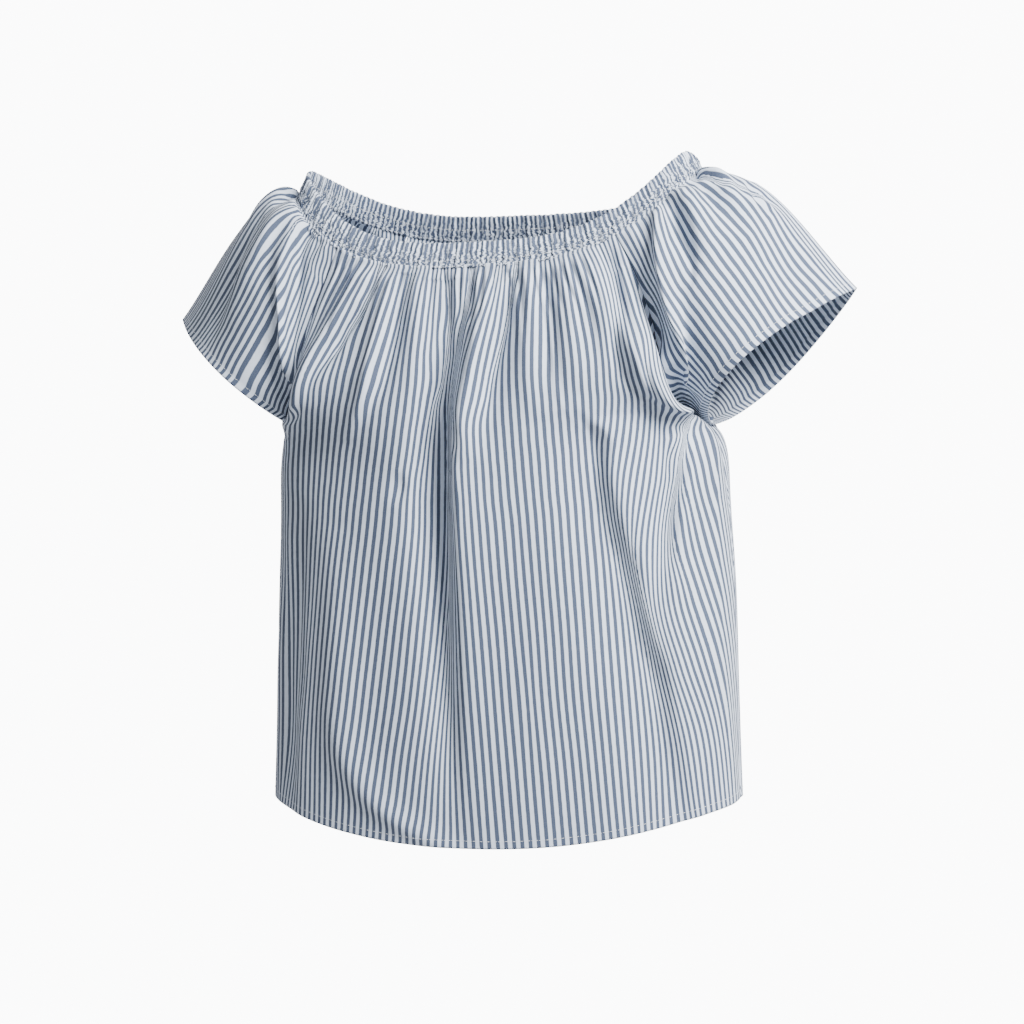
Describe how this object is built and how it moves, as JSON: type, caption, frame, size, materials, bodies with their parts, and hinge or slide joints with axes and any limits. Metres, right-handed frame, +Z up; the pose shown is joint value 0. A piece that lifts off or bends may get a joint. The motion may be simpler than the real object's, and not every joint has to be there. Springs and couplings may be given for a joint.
{
  "type": "off-shoulder top",
  "caption": "Short-sleeved off-shoulder top in vertically striped cotton, gathered under an elastic neck casing, standing open as if worn.",
  "frame": {"origin": "centre of the elastic neck ring, where the wearer's shoulders hold the top up", "axes": "+X to the wearer's left, +Y to the back, +Z up"},
  "size_m": [0.642, 0.2624, 0.6106],
  "materials": {
    "striped_cloth": "matt woven cotton, blue-grey and white lengthwise stripes",
    "casing_cloth": "matt woven cotton, the same stripes drawn up close by elastic",
    "thread": "matt white sewing thread"
  },
  "bodies": {
    "root": {"front": "striped_cloth", "back": "striped_cloth", "sleeve_left": "striped_cloth", "sleeve_right": "striped_cloth", "neck_casing": "casing_cloth"}
  },
  "joints": []
}
